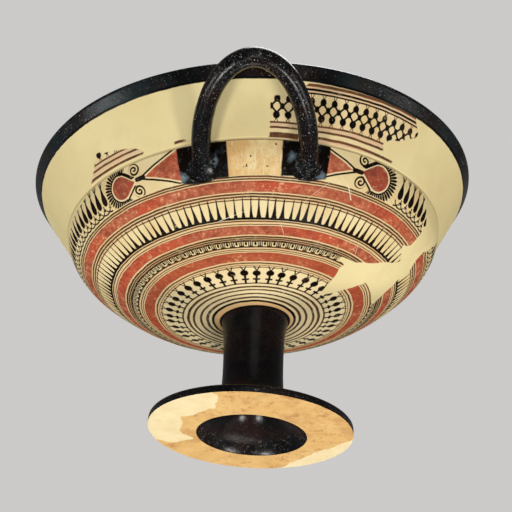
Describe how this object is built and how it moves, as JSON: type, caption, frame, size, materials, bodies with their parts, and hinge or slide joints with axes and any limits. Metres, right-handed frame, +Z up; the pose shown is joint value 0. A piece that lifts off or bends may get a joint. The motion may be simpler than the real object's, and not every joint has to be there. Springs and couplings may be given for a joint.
{
  "type": "greek kylix cup",
  "caption": "Ancient stemmed clay drinking cup with a wide shallow bowl, flaring lip, round foot and horizontal loop handles, painted in bands and partly restored.",
  "frame": {"origin": "middle of the whole cup's plan, on the plane that the foot rests on", "axes": "+Z up along the foot's axis, +Y through the handles from the near to the far one, +X to the right as seen from the near handle"},
  "size_m": [0.1952, 0.2446, 0.123],
  "materials": {
    "painted_clay": "fired clay with a cream slip, painted in glossy black and dull red bands, worn and partly filled with pale plaster"
  },
  "bodies": {
    "root": {"kylix": "painted_clay"}
  },
  "joints": []
}
